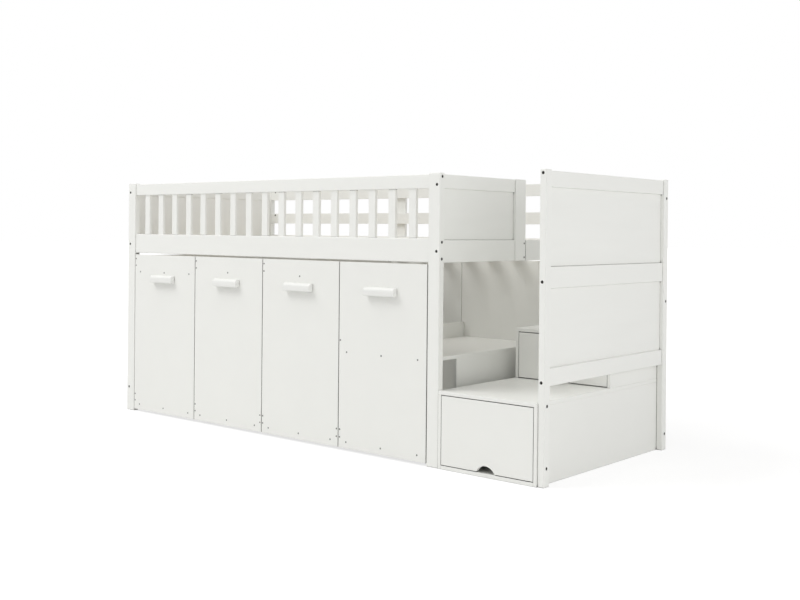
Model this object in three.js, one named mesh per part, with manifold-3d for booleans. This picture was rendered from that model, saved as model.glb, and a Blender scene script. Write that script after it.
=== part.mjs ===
// A low loft bed for one sleeper, with a guard all round, a staircase of two steps with drawers at its
// right end, and four units on wheels beneath it: a desk, two wardrobes and a bench.
// Millimetres. X runs along the bed from its left end, Y from the front to the back, Z up from the
// floor. Pieces are drawn from the bed's left end, the posts' front faces and the floor. The finished
// group is then moved so that its origin is the middle of the whole footprint, at floor level.

import * as THREE from "three";
import { ConvexGeometry } from "three/addons/geometries/ConvexGeometry.js";
import { mergeVertices } from "three/addons/utils/BufferGeometryUtils.js";
import Module from "manifold-3d";

const wasm = await Module();
wasm.setup();

// Bed frame
const bedLength = 2068;
const bedDepth = 980;
const frameHeight = 1176;
const cornerPostWidth = 58;
const cornerPostDepth = 30;
const railThickness = 24;
const railSetback = 4;
const topRailDrop = 5;
const topRailHeight = 57;
const guardHeight = 262;
const sideRailHeight = 97;
const endRailHeight = 91;
const lowRailBottomHeight = 90;
const lowRailHeight = 60;

// Front guard
const guardSlatCount = 17;
const guardSlatWidth = 38;
const guardSlatThickness = 14;
const guardSlatTenon = 8;

// Rear guard
const rearGuardThickness = 15;
const rearMidRailRise = 66;
const rearMidRailHeight = 57;
const rearMidPostWidth = 80;

// End guards, and the grab post beside the way in
const endPanelThickness = 12;
const endPanelInset = 9;
const panelGroove = 8;
const entryGuardLength = 501;
const grabPostWidth = 87;
const grabPostDrop = 4;
const grabPostCorner = 20;

// Deck
const ledgerWidth = 25;
const ledgerHeight = 25;
const deckSlatCount = 14;
const deckSlatWidth = 70;
const deckSlatThickness = 15;
const deckSlatHousing = 2;
const deckSlatEndGap = 2;

// Staircase
const stairWidth = 466;
const stairBoard = 15;
const lowerTreadTop = 310;
const upperTreadTop = 526;
const lowerTreadRun = 540;
const stairBackThickness = 5;

// Stair drawers
const drawerSideGap = 2;
const drawerEdgeGap = 3;
const drawerFrontThickness = 15;
const drawerRunningGap = 0.5;
const drawerBoxSideGap = 4;
const drawerWall = 12;
const drawerFloor = 5;
const drawerFloorGap = 2;
const drawerGroove = 4;
const lowerBoxDepth = 505;
const lowerBoxHeight = 200;
const upperBoxRearGap = 15;
const upperBoxHeight = 140;
const notchWidth = 86;
const notchHeight = 26;

// End frame beyond the stairs
const outerPostWidth = 28;
const outerPostDepth = 38;
const outerPostSetback = 5;
const outerRailThickness = 22;
const outerRailSetback = 4;
const outerPanelThickness = 10;
const outerTopRailDrop = 4;
const outerTopRailHeight = 61;
const outerMidRailDrop = 2;
const outerMidRailHeight = 81;
const outerBottomRailBottom = 372;
const outerBottomRailHeight = 66;
const tieRailThickness = 20;
const tieRailHeight = 56;
const tieMidRailBottomHeight = 619;
const tieTopRailDrop = 54;

// Units on wheels
const unitGap = 4;
const unitBoard = 15;
const unitBottom = 11;
const unitHeadGap = 8;
const unitRearGap = 95;
const unitJoint = 5;
const baseBoardBottom = 31;
const unitRailHeight = 70;
const unitLowRailBottom = 38;
const unitTopRailDrop = 4;
const deskTopDrop = 81;
const benchHeight = 430;
const benchLipHeight = 70;
const benchSideSetback = 200;
const rodDiameter = 22;
const rodCentreDrop = 72;
const rodEndGap = 0.3;

// Handles
const handleLength = 168;
const handleHeight = 36;
const handleProud = 25;
const handleCentreDrop = 120;
const handleBand = 14;
const handleLip = 6;
const handleRound = 15;
const handleFingerRound = 8;

// Wheel sets and their bearing blocks
const wheelDiameter = 26;
const wheelWidth = 12;
const wheelChamfer = 2;
const wheelTrackWidth = 360;
const axleDiameter = 6;
const axleEndDistance = 110;
const axlePlay = 0.3;
const bearingWidth = 14;
const bearingLength = 30;
const bearingWall = 3;
const bearingWheelGap = 2;

// Bolt holes, sunk for the bolt heads
const boltHoleDiameter = 9;
const boltHoleDepth = 6;
const boltInset = 15;
const boltTopInset = 10;
const outerMidBoltRise = 25;
const stairLowBoltHeight = 70;

// Edges, cuts and facets
const timberEase = 3;
const boardEase = 1;
const handleEase = 1;
const cutOverrun = 5;
const boltSides = 12;
const wheelSides = 16;
const notchSides = 48;
const arcSteps = 6;

// Heights and places that follow
const topRailTop = frameHeight - topRailDrop;
const topRailBottom = topRailTop - topRailHeight;
const sideRailTop = frameHeight - guardHeight;
const frameUnderside = sideRailTop - sideRailHeight;
const endRailTop = frameUnderside + endRailHeight;
const rearMidRailBottom = sideRailTop + rearMidRailRise;
const rearMidRailTop = rearMidRailBottom + rearMidRailHeight;
const railInner = railSetback + railThickness;
const railCentre = railSetback + railThickness / 2;
const innerLeft = cornerPostWidth;
const innerRight = bedLength - cornerPostWidth;
const endFront = cornerPostDepth;
const endRear = bedDepth - cornerPostDepth;
const entryGuardEnd = endFront + entryGuardLength;
const grabPostEnd = entryGuardEnd + grabPostWidth;
const stairLeft = bedLength;
const stairRight = bedLength + stairWidth;
const stairRear = bedDepth - stairBackThickness;
const lowerTreadBottom = lowerTreadTop - stairBoard;
const upperTreadBottom = upperTreadTop - stairBoard;
const outerFace = stairRight + outerPostWidth;
const outerRailFace = outerFace - outerRailSetback;
const outerRailInner = outerRailFace - outerRailThickness;
const outerRailFront = outerPostSetback + outerPostDepth;
const outerRailRear = bedDepth - outerPostDepth;
const outerTopRailTop = frameHeight - outerTopRailDrop;
const outerTopRailBottom = outerTopRailTop - outerTopRailHeight;
const outerMidRailTop = frameUnderside - outerMidRailDrop;
const outerMidRailBottom = outerMidRailTop - outerMidRailHeight;
const outerBottomRailTop = outerBottomRailBottom + outerBottomRailHeight;
const tieTopRailBottom = frameHeight - tieTopRailDrop - tieRailHeight;
const tieRailBottoms = [tieMidRailBottomHeight, tieTopRailBottom];
const upperBoxDepth = stairRear - upperBoxRearGap - lowerTreadRun - drawerFrontThickness;
const unitTop = frameUnderside - unitHeadGap;
const unitDepth = bedDepth - unitRearGap;
const unitTopRailBottom = unitTop - unitTopRailDrop - unitRailHeight;
const unitInnerBack = unitDepth - unitBoard;
const deskHeight = unitTop - deskTopDrop;
const rodCentreHeight = unitTop - rodCentreDrop;
const handleCentreHeight = unitTop - handleCentreDrop;
const baseBoardTop = baseBoardBottom + unitBoard;
const wheelRadius = wheelDiameter / 2;

// Finishes
const framePaint = { color: 0xecede8, roughness: 0.4 };
const boardPaint = { color: 0xebebe6, roughness: 0.45 };
const drawerPaint = { color: 0xe4e4de, roughness: 0.5 };
const handlePaint = { color: 0xefefeb, roughness: 0.35 };
const deckTimber = { color: 0xd6bd93, roughness: 0.7 };
const wheelPlastic = { color: 0x77797a, roughness: 0.55 };

// A closed solid from a geometry, with only its places kept and its shared corners merged
function solidOf(geometry) {
  const bare = geometry.clone();
  bare.deleteAttribute("normal");
  bare.deleteAttribute("uv");
  const merged = mergeVertices(bare);
  const mesh = new wasm.Mesh({
    numProp: 3,
    vertProperties: new Float32Array(merged.attributes.position.array),
    triVerts: new Uint32Array(merged.index.array),
  });
  return new wasm.Manifold(mesh);
}

function geometryOf(solid) {
  const mesh = solid.getMesh();
  const places = new Float32Array(mesh.vertProperties);
  const geometry = new THREE.BufferGeometry();
  geometry.setAttribute("position", new THREE.BufferAttribute(places, 3));
  geometry.setIndex(new THREE.BufferAttribute(mesh.triVerts, 1));
  geometry.computeVertexNormals();
  return geometry;
}

function fuse(...geometries) {
  return geometryOf(geometries.map(solidOf).reduce((whole, next) => whole.add(next)));
}

function cut(geometry, ...tools) {
  return geometryOf(tools.map(solidOf).reduce((whole, tool) => whole.subtract(tool), solidOf(geometry)));
}

function keepInside(geometry, ...limits) {
  return geometryOf(limits.map(solidOf).reduce((whole, limit) => whole.intersect(limit), solidOf(geometry)));
}

// A board between its six face planes, as the hull of the points at its eight corners. Each corner has
// one point on every face, which leaves a flat chamfer between them. A rounded board has four more
// points there, on a ball of the same size, and each edge becomes two flats.
function board([x0, x1], [y0, y1], [z0, z1], ease = boardEase, rounded = false) {
  const turns = rounded ? [1, 2, 3, 4, 5, 6, 7] : [1, 2, 4];
  const points = [];
  for (const [x, inX] of [[x0, ease], [x1, -ease]]) {
    for (const [y, inY] of [[y0, ease], [y1, -ease]]) {
      for (const [z, inZ] of [[z0, ease], [z1, -ease]]) {
        for (const turn of turns) {
          const out = new THREE.Vector3(turn & 1, (turn & 2) / 2, (turn & 4) / 4).normalize();
          points.push(new THREE.Vector3(x + inX * (1 - out.x), y + inY * (1 - out.y), z + inZ * (1 - out.z)));
        }
      }
    }
  }
  return new ConvexGeometry(points);
}

function timber(across, deep, tall) {
  return board(across, deep, tall, timberEase, true);
}

// A sharp block between planes, for cuts
function block([x0, x1], [y0, y1], [z0, z1]) {
  const edges = [x0, x1].flatMap((x) => [[x, y0], [x, y1]]);
  return new ConvexGeometry(edges.flatMap(([x, y]) => [z0, z1].map((z) => new THREE.Vector3(x, y, z))));
}

function widened([start, end]) {
  return [start - cutOverrun, end + cutOverrun];
}

// An outline drawn out to a length, with its edges eased inside the outline
function drawnOut(outline, length, ease) {
  const geometry = new THREE.ExtrudeGeometry(outline, {
    depth: length - 2 * ease,
    curveSegments: arcSteps,
    bevelEnabled: ease > 0,
    bevelThickness: ease,
    bevelSize: ease,
    bevelOffset: -ease,
    bevelSegments: 1,
  });
  return geometry.translate(0, 0, ease);
}

// An outline in Y and Z, drawn out along X
function profileAlongX(outline, [x0, x1], ease) {
  const turn = new THREE.Matrix4().makeBasis(
    new THREE.Vector3(0, 1, 0),
    new THREE.Vector3(0, 0, 1),
    new THREE.Vector3(1, 0, 0),
  );
  return drawnOut(outline, x1 - x0, ease).applyMatrix4(turn).translate(x0, 0, 0);
}

// An outline in X and Y, drawn out along Z
function profileAlongZ(outline, [z0, z1], ease) {
  return drawnOut(outline, z1 - z0, ease).translate(0, 0, z0);
}

// A round bar along X, at a place in Y and Z
function barAlongX([start, end], y, z, diameter, sides) {
  const bar = new THREE.CylinderGeometry(diameter / 2, diameter / 2, end - start, sides);
  return bar.rotateZ(-Math.PI / 2).translate((start + end) / 2, y, z);
}

// A round bar along Y, at a place in X and Z
function barAlongY([start, end], x, z, diameter, sides) {
  const bar = new THREE.CylinderGeometry(diameter / 2, diameter / 2, end - start, sides);
  return bar.translate(x, (start + end) / 2, z);
}

// The way a bolt hole is drilled from a face, where inward is 1 or -1 along the drill's axis
function drilled(face, inward) {
  const ends = [face - inward * cutOverrun, face + inward * boltHoleDepth];
  return [Math.min(...ends), Math.max(...ends)];
}

function boltHoleAlongX(face, inward, y, z) {
  return barAlongX(drilled(face, inward), y, z, boltHoleDiameter, boltSides);
}

function boltHoleAlongY(face, inward, x, z) {
  return barAlongY(drilled(face, inward), x, z, boltHoleDiameter, boltSides);
}

function piece(parent, name, geometry, finish) {
  const material = new THREE.MeshStandardMaterial({ ...finish, metalness: 0 });
  const mesh = new THREE.Mesh(geometry, material);
  mesh.name = name;
  parent.add(mesh);
  return mesh;
}

function group(parent, x = 0) {
  const inner = new THREE.Group();
  inner.position.x = x;
  parent.add(inner);
  return inner;
}

// Corner post. The long rails are bolted through its outer side and the end rails through its front or
// rear face, at heights that let the bolts pass each other.
function cornerPost(bed, name, atRight, atRear) {
  const across = atRight ? [innerRight, bedLength] : [0, innerLeft];
  const deep = atRear ? [endRear, bedDepth] : [0, endFront];
  const [side, sideInward] = atRight ? [bedLength, -1] : [0, 1];
  const [face, faceInward] = atRear ? [bedDepth, -1] : [0, 1];
  const endRailX = side + sideInward * railCentre;
  const longRailY = face + faceInward * railCentre;
  const guardRailY = atRear ? endRear + rearGuardThickness / 2 : longRailY;
  const endRailBolts = [topRailBottom + boltInset, (frameUnderside + endRailTop) / 2];
  const lowRailBolts = atRight ? [] : [lowRailBottomHeight + lowRailHeight / 2];
  const sideRailBolts = [sideRailTop - boltInset, frameUnderside + boltInset];
  const guardTops = atRear ? [topRailTop, rearMidRailTop] : [topRailTop];
  const holes = [
    ...[...endRailBolts, ...lowRailBolts].map((z) => boltHoleAlongY(face, faceInward, endRailX, z)),
    ...sideRailBolts.map((z) => boltHoleAlongX(side, sideInward, longRailY, z)),
    ...guardTops.map((top) => boltHoleAlongX(side, sideInward, guardRailY, top - boltTopInset)),
  ];
  piece(bed, name, cut(timber(across, deep, [0, frameHeight]), ...holes), framePaint);
}

// Front guard: upright slats tenoned into the two rails. The slats take turns, one made in one solid with
// the top rail and the next in one solid with the side rail.
function frontGuard(bed) {
  const along = [innerLeft, innerRight];
  const deep = [railSetback, railInner];
  const slatDeep = [railCentre - guardSlatThickness / 2, railCentre + guardSlatThickness / 2];
  const hangingTall = [sideRailTop, topRailBottom + guardSlatTenon];
  const standingTall = [sideRailTop - guardSlatTenon, topRailBottom];
  const gap = (innerRight - innerLeft - guardSlatCount * guardSlatWidth) / (guardSlatCount + 1);
  const topParts = [timber(along, deep, [topRailBottom, topRailTop])];
  const sideParts = [timber(along, deep, [frameUnderside, sideRailTop])];
  for (let i = 0; i < guardSlatCount; i++) {
    const x = innerLeft + gap + i * (guardSlatWidth + gap);
    const [parts, tall] = i % 2 ? [sideParts, standingTall] : [topParts, hangingTall];
    parts.push(board([x, x + guardSlatWidth], slatDeep, tall));
  }
  piece(bed, "front_guard", fuse(...topParts), framePaint);
  piece(bed, "front_side_rail", fuse(...sideParts), framePaint);
}

// Rear guard: two thin rails flush with the posts' inner faces, and a post behind them that stands on
// the side rail
function rearGuard(bed) {
  const along = [innerLeft, innerRight];
  const guardBack = endRear + rearGuardThickness;
  const deep = [endRear, guardBack];
  const centre = bedLength / 2;
  const postAcross = [centre - rearMidPostWidth / 2, centre + rearMidPostWidth / 2];
  const post = board(postAcross, [guardBack, bedDepth], [sideRailTop, topRailTop]);
  const sideDeep = [bedDepth - railInner, bedDepth - railSetback];
  const midTall = [rearMidRailBottom, rearMidRailTop];
  piece(bed, "rear_top_rail", board(along, deep, [topRailBottom, topRailTop], boardEase, true), framePaint);
  piece(bed, "rear_mid_rail", board(along, deep, midTall, boardEase, true), framePaint);
  piece(bed, "rear_side_rail", timber(along, sideDeep, [frameUnderside, sideRailTop]), framePaint);
  piece(bed, "rear_mid_post", post, framePaint);
}

// Guard at one end: a rail, and a thin panel let into its underside that stands on the end rail
function endGuard(bed, name, railAcross, panelAcross, deep) {
  const rail = timber(railAcross, deep, [topRailBottom, topRailTop]);
  const panel = board(panelAcross, deep, [endRailTop, topRailBottom + panelGroove]);
  piece(bed, name, fuse(rail, panel), framePaint);
}

function leftEnd(bed) {
  const across = [railSetback, railInner];
  const deep = [endFront, endRear];
  const panelFace = railSetback + endPanelInset;
  const lowTall = [lowRailBottomHeight, lowRailBottomHeight + lowRailHeight];
  endGuard(bed, "left_guard", across, [panelFace, panelFace + endPanelThickness], deep);
  piece(bed, "left_end_rail", timber(across, deep, [frameUnderside, endRailTop]), framePaint);
  piece(bed, "left_low_rail", timber(across, deep, lowTall), framePaint);
}

// Right end: the guard stops at the grab post, and the way in from the upper step is behind it. The end
// rail runs the whole depth, halved where the post laps over it.
function rightEnd(bed) {
  const across = [bedLength - railInner, bedLength - railSetback];
  const panelFace = bedLength - railSetback - endPanelInset;
  const lapFace = bedLength - railCentre;
  const postDeep = [entryGuardEnd, grabPostEnd];
  const railTall = [frameUnderside, endRailTop];
  endGuard(bed, "right_guard", across, [panelFace - endPanelThickness, panelFace], [endFront, entryGuardEnd]);
  const rail = timber(across, [endFront, endRear], railTall);
  const housing = block([lapFace, bedLength], postDeep, widened(railTall));
  piece(bed, "right_end_rail", cut(rail, housing), framePaint);
  piece(bed, "right_mid_post", grabPost([bedLength - railInner, bedLength], postDeep, lapFace), framePaint);
}

// Grab post: its rear edge is a half round for the hand, and its rear top corner is rounded off
function grabPost([inner, outer], [front, rear], lapFace) {
  const top = frameHeight - grabPostDrop;
  const halfRound = (outer - inner) / 2;
  const side = new THREE.Shape();
  side.moveTo(front, frameUnderside);
  side.lineTo(rear, frameUnderside);
  side.absarc(rear - grabPostCorner, top - grabPostCorner, grabPostCorner, 0, Math.PI / 2);
  side.lineTo(front, top);
  const plan = new THREE.Shape();
  plan.moveTo(inner, front);
  plan.lineTo(outer, front);
  plan.absarc(outer - halfRound, rear - halfRound, halfRound, 0, Math.PI);
  const blank = board([inner, outer], [front, rear], [frameUnderside, top]);
  const rounded = keepInside(
    blank,
    profileAlongX(side, widened([inner, outer]), 0),
    profileAlongZ(plan, widened([frameUnderside, top]), 0),
  );
  const lapTall = [frameUnderside - cutOverrun, endRailTop];
  const lap = block([inner - cutOverrun, lapFace], widened([front, rear]), lapTall);
  const boltY = rear - halfRound - boltHoleDiameter / 2;
  const boltHeights = [endRailTop - boltInset, frameUnderside + boltInset];
  return cut(rounded, lap, ...boltHeights.map((z) => boltHoleAlongX(outer, -1, boltY, z)));
}

// Slatted deck: two ledgers along the side rails, with the slats housed and screwed across them
function slatDeck(bed) {
  const along = [innerLeft, innerRight];
  const across = [railInner, bedDepth - railInner];
  const ledgerTop = frameUnderside + ledgerHeight;
  const ledgerTall = [frameUnderside, ledgerTop];
  const slatTall = [ledgerTop - deckSlatHousing, ledgerTop - deckSlatHousing + deckSlatThickness];
  const slatDeep = [across[0] + deckSlatEndGap, across[1] - deckSlatEndGap];
  const pitch = (innerRight - innerLeft - deckSlatWidth) / (deckSlatCount - 1);
  const parts = [
    board(along, [across[0], across[0] + ledgerWidth], ledgerTall),
    board(along, [across[1] - ledgerWidth, across[1]], ledgerTall),
  ];
  for (let i = 0; i < deckSlatCount; i++) {
    const x = innerLeft + i * pitch;
    parts.push(board([x, x + deckSlatWidth], slatDeep, slatTall));
  }
  piece(bed, "slat_deck", fuse(...parts), deckTimber);
}

// Posts of the end frame. The rails are bolted through the front and rear faces, the stairs and the two
// tie rails through the outer side.
function outerPosts(frame) {
  const across = [stairRight, outerFace];
  const boltX = (outerRailInner + outerRailFace) / 2;
  const railBolts = [
    outerTopRailTop - boltTopInset,
    outerMidRailBottom + outerMidBoltRise,
    outerBottomRailBottom + boltInset,
  ];
  const stairBolts = [lowerTreadTop - boltTopInset, stairLowBoltHeight];
  const frontY = outerPostSetback + outerPostDepth / 2;
  const frontHoles = [
    ...railBolts.map((z) => boltHoleAlongY(outerPostSetback, 1, boltX, z)),
    ...stairBolts.map((z) => boltHoleAlongX(outerFace, -1, frontY, z)),
  ];
  const tieY = bedDepth - railSetback - tieRailThickness / 2;
  const rearHoles = [
    ...railBolts.map((z) => boltHoleAlongY(bedDepth, -1, boltX, z)),
    ...tieRailBottoms.map((bottom) => boltHoleAlongX(outerFace, -1, tieY, bottom + tieRailHeight / 2)),
    boltHoleAlongX(outerFace, -1, tieY, stairLowBoltHeight),
  ];
  const front = timber(across, [outerPostSetback, outerRailFront], [0, frameHeight]);
  const rear = timber(across, [outerRailRear, bedDepth], [0, frameHeight]);
  piece(frame, "outer_front_post", cut(front, ...frontHoles), framePaint);
  piece(frame, "outer_rear_post", cut(rear, ...rearHoles), framePaint);
}

// Rails and thin panels of the end frame, with the panels let into the top and the bottom rail
function outerPanels(frame) {
  const across = [outerRailInner, outerRailFace];
  const panelAcross = [outerRailInner, outerRailInner + outerPanelThickness];
  const deep = [outerRailFront, outerRailRear];
  const topRail = timber(across, deep, [outerTopRailBottom, outerTopRailTop]);
  const upperPanel = board(panelAcross, deep, [outerMidRailTop, outerTopRailBottom + panelGroove]);
  const bottomRail = timber(across, deep, [outerBottomRailBottom, outerBottomRailTop]);
  const lowerPanel = board(panelAcross, deep, [outerBottomRailTop - panelGroove, outerMidRailBottom]);
  piece(frame, "outer_upper_guard", fuse(topRail, upperPanel), framePaint);
  piece(frame, "outer_mid_rail", timber(across, deep, [outerMidRailBottom, outerMidRailTop]), framePaint);
  piece(frame, "outer_lower_guard", fuse(bottomRail, lowerPanel), framePaint);
}

// Tie rails at the rear, from the bed to the end frame
function tieRails(frame) {
  const names = ["stair_rear_mid_rail", "stair_rear_top_rail"];
  const rear = bedDepth - railSetback;
  const deep = [rear - tieRailThickness, rear];
  tieRailBottoms.forEach((bottom, i) => {
    const rail = timber([stairLeft, stairRight], deep, [bottom, bottom + tieRailHeight]);
    piece(frame, names[i], rail, framePaint);
  });
}

// Staircase: boards of one thickness, the treads lying on the sides with their ends in view
function stairCase(stairs) {
  const full = [0, stairRear];
  const upperFull = [lowerTreadRun, stairRear];
  const wide = [stairLeft, stairRight];
  const inside = [stairLeft + stairBoard, stairRight - stairBoard];
  const sides = { left: [stairLeft, inside[0]], right: [inside[1], stairRight] };
  for (const [hand, across] of Object.entries(sides)) {
    const upperSide = board(across, upperFull, [lowerTreadTop, upperTreadBottom]);
    piece(stairs, "stair_" + hand + "_side", board(across, full, [0, lowerTreadBottom]), boardPaint);
    piece(stairs, "upper_" + hand + "_side", upperSide, boardPaint);
  }
  piece(stairs, "stair_base_board", board(inside, full, [0, stairBoard]), boardPaint);
  piece(stairs, "lower_tread", board(wide, full, [lowerTreadBottom, lowerTreadTop]), boardPaint);
  piece(stairs, "upper_tread", board(wide, upperFull, [upperTreadBottom, upperTreadTop]), boardPaint);
  piece(stairs, "stair_back_panel", board(wide, [stairRear, bedDepth], [0, upperTreadTop]), boardPaint);
}

// Drawer front, with a finger notch cut as an arc into the middle of its lower edge
function drawerFront(frontY, floor, ceiling) {
  const across = [stairLeft + stairBoard + drawerSideGap, stairRight - stairBoard - drawerSideGap];
  const deep = [frontY, frontY + drawerFrontThickness];
  const bottom = floor + drawerEdgeGap;
  const chord = notchWidth / 2;
  const radius = (chord * chord + notchHeight * notchHeight) / (2 * notchHeight);
  const middle = (across[0] + across[1]) / 2;
  const notch = barAlongY(widened(deep), middle, bottom + notchHeight - radius, 2 * radius, notchSides);
  return cut(board(across, deep, [bottom, ceiling - drawerEdgeGap]), notch);
}

// Drawer box: two sides and a back behind the drawer front, and a thin bottom grooved into them. The
// bottom lies over the finger notch, so that fingers reach in behind the front.
function drawerBox(frontY, floor, depth, height) {
  const left = stairLeft + stairBoard + drawerBoxSideGap;
  const right = stairRight - stairBoard - drawerBoxSideGap;
  const front = frontY + drawerFrontThickness;
  const back = front + depth;
  const bottom = floor + drawerRunningGap;
  const tall = [bottom, bottom + height];
  const raise = floor + drawerEdgeGap + notchHeight + drawerFloorGap;
  const inset = drawerWall - drawerGroove;
  return fuse(
    board([left, left + drawerWall], [front, back], tall),
    board([right - drawerWall, right], [front, back], tall),
    board([left, right], [back - drawerWall, back], tall),
    board([left + inset, right - inset], [front, back - inset], [raise, raise + drawerFloor]),
  );
}

function stairDrawer(stairs, name, frontY, floor, ceiling, depth, height) {
  const drawer = group(stairs);
  piece(drawer, name + "_drawer_front", drawerFront(frontY, floor, ceiling), boardPaint);
  piece(drawer, name + "_drawer_box", drawerBox(frontY, floor, depth, height), drawerPaint);
}

// Handle: a band screwed to the panel, a rounded shoulder and a lip, open below for the fingers
function handle() {
  const top = handleHeight / 2;
  const shoulder = handleProud - handleRound;
  const bandBottom = top - handleBand;
  const lipInner = handleProud - handleLip;
  const [roundY, roundZ] = [handleFingerRound - lipInner, bandBottom - handleFingerRound];
  const profile = new THREE.Shape();
  profile.moveTo(0, top);
  profile.absarc(-shoulder, top - handleRound, handleRound, Math.PI / 2, Math.PI);
  profile.lineTo(-handleProud, -top);
  profile.lineTo(-lipInner, -top);
  profile.absarc(roundY, roundZ, handleFingerRound, Math.PI, Math.PI / 2, true);
  profile.lineTo(0, bandBottom);
  const left = (unitWidth - handleLength) / 2;
  return profileAlongX(profile, [left, left + handleLength], handleEase).translate(0, 0, handleCentreHeight);
}

// Carcass: the boards let into each other, with four blocks below that carry the axles
function carcass({ hasTopRail, hasRightRail, extra }) {
  const deep = [unitBoard, unitInnerBack + unitJoint];
  const left = [0, unitBoard];
  const right = [unitWidth - unitBoard, unitWidth];
  const low = [unitLowRailBottom, unitLowRailBottom + unitRailHeight];
  const high = [unitTopRailBottom, unitTopRailBottom + unitRailHeight];
  const boards = [
    board([0, unitWidth], [unitInnerBack, unitDepth], [unitBottom, unitTop]),
    board([unitBoard - unitJoint, unitWidth - unitBoard + unitJoint], deep, [baseBoardBottom, baseBoardTop]),
    board(left, deep, low),
  ];
  if (hasTopRail) boards.push(board(left, deep, high));
  if (hasRightRail) boards.push(board(right, deep, low));
  const whole = fuse(...boards, ...extra(deep, left, right), ...bearingBlocks());
  return cut(whole, ...bearingPlaces().map(([across, y]) => axleBore(across, y)));
}

// The bench has a side panel on its right, set back to leave room for feet
function benchSide(deep, left, right) {
  return [board(right, [benchSideSetback, deep[1]], [baseBoardBottom, benchHeight - unitBoard])];
}

// The places of the bearing blocks: the stretch that each takes along its axle, and the axle's Y
function bearingPlaces() {
  const reach = wheelTrackWidth / 2 - wheelWidth / 2 - bearingWheelGap;
  const middle = unitWidth / 2;
  const stretches = [
    [middle - reach, middle - reach + bearingWidth],
    [middle + reach - bearingWidth, middle + reach],
  ];
  const axles = [axleEndDistance, unitDepth - axleEndDistance];
  return axles.flatMap((y) => stretches.map((across) => [across, y]));
}

function bearingBlocks() {
  const bottom = wheelRadius - axleDiameter / 2 - bearingWall;
  return bearingPlaces().map(([across, y]) => {
    const deep = [y - bearingLength / 2, y + bearingLength / 2];
    return board(across, deep, [bottom, baseBoardBottom + unitJoint]);
  });
}

function axleBore(across, y) {
  return barAlongX(widened(across), y, wheelRadius, axleDiameter + 2 * axlePlay, wheelSides);
}

// Wheel set: two wheels and their axle, turned in one piece, standing on the floor
function wheelSet(unit, name, y) {
  const outer = wheelTrackWidth / 2 + wheelWidth / 2;
  const inner = wheelTrackWidth / 2 - wheelWidth / 2;
  const rim = wheelRadius - wheelChamfer;
  const wheel = [
    [rim, inner],
    [wheelRadius, inner + wheelChamfer],
    [wheelRadius, outer - wheelChamfer],
    [rim, outer],
  ];
  const mirrored = wheel.map(([radius, along]) => [radius, -along]).reverse();
  const axle = axleDiameter / 2;
  const outline = [[0, -outer], ...mirrored, [axle, -inner], [axle, inner], ...wheel, [0, outer]];
  const profile = outline.map(([radius, along]) => new THREE.Vector2(radius, along));
  const mesh = piece(unit, name, new THREE.LatheGeometry(profile, wheelSides), wheelPlastic);
  mesh.rotation.z = -Math.PI / 2;
  mesh.position.set(unitWidth / 2, y, wheelRadius);
}

function flatTop(height) {
  return board([0, unitWidth], [unitBoard, unitInnerBack], [height - unitBoard, height]);
}

// Bench seat: a flat board with a lip let into it along its left
function benchSeat() {
  const lipTall = [benchHeight - unitJoint, benchHeight + benchLipHeight];
  return fuse(flatTop(benchHeight), board([0, unitBoard], [unitBoard, unitInnerBack], lipTall));
}

function hangingRod() {
  const along = [unitBoard + rodEndGap, unitInnerBack - rodEndGap];
  return barAlongY(along, unitWidth / 2, rodCentreHeight, rodDiameter, wheelSides);
}

const wardrobe = {
  hasTopRail: true,
  hasRightRail: true,
  extra: () => [],
  fittingName: "rod",
  fitting: hangingRod,
};
const units = {
  desk: {
    hasTopRail: true,
    hasRightRail: false,
    extra: () => [],
    fittingName: "top",
    fitting: () => flatTop(deskHeight),
  },
  wardrobe_1: wardrobe,
  wardrobe_2: wardrobe,
  bench: {
    hasTopRail: false,
    hasRightRail: false,
    extra: benchSide,
    fittingName: "board",
    fitting: benchSeat,
  },
};
const unitNames = Object.keys(units);
const unitWidth = (innerRight - innerLeft - unitGap * (unitNames.length + 1)) / unitNames.length;

// A unit on wheels, drawn from its own left side and placed among the others
function rollingUnit(bed, name, index) {
  const unit = group(bed, innerLeft + unitGap + index * (unitWidth + unitGap));
  const build = units[name];
  const front = board([0, unitWidth], [0, unitBoard], [unitBottom, unitTop]);
  piece(unit, name + "_front_panel", front, boardPaint);
  piece(unit, name + "_handle", handle(), handlePaint);
  piece(unit, name + "_carcass", carcass(build), boardPaint);
  piece(unit, name + "_" + build.fittingName, build.fitting(), boardPaint);
  wheelSet(unit, name + "_front_wheelset", axleEndDistance);
  wheelSet(unit, name + "_rear_wheelset", unitDepth - axleEndDistance);
}

const loftBed = new THREE.Group();
loftBed.position.set(-outerFace / 2, (handleProud - bedDepth) / 2, 0);

const bed = group(loftBed);
cornerPost(bed, "front_left_post", false, false);
cornerPost(bed, "front_right_post", true, false);
cornerPost(bed, "rear_left_post", false, true);
cornerPost(bed, "rear_right_post", true, true);
frontGuard(bed);
rearGuard(bed);
leftEnd(bed);
rightEnd(bed);
slatDeck(bed);
unitNames.forEach((name, index) => rollingUnit(bed, name, index));

const outerFrame = group(loftBed);
outerPosts(outerFrame);
outerPanels(outerFrame);
tieRails(outerFrame);

const stairs = group(loftBed);
stairCase(stairs);
stairDrawer(stairs, "lower", 0, stairBoard, lowerTreadBottom, lowerBoxDepth, lowerBoxHeight);
stairDrawer(stairs, "upper", lowerTreadRun, lowerTreadTop, upperTreadBottom, upperBoxDepth, upperBoxHeight);

export default loftBed;
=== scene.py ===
import math

import bmesh
import bpy
import numpy as np
from mathutils import Matrix, Vector


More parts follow.
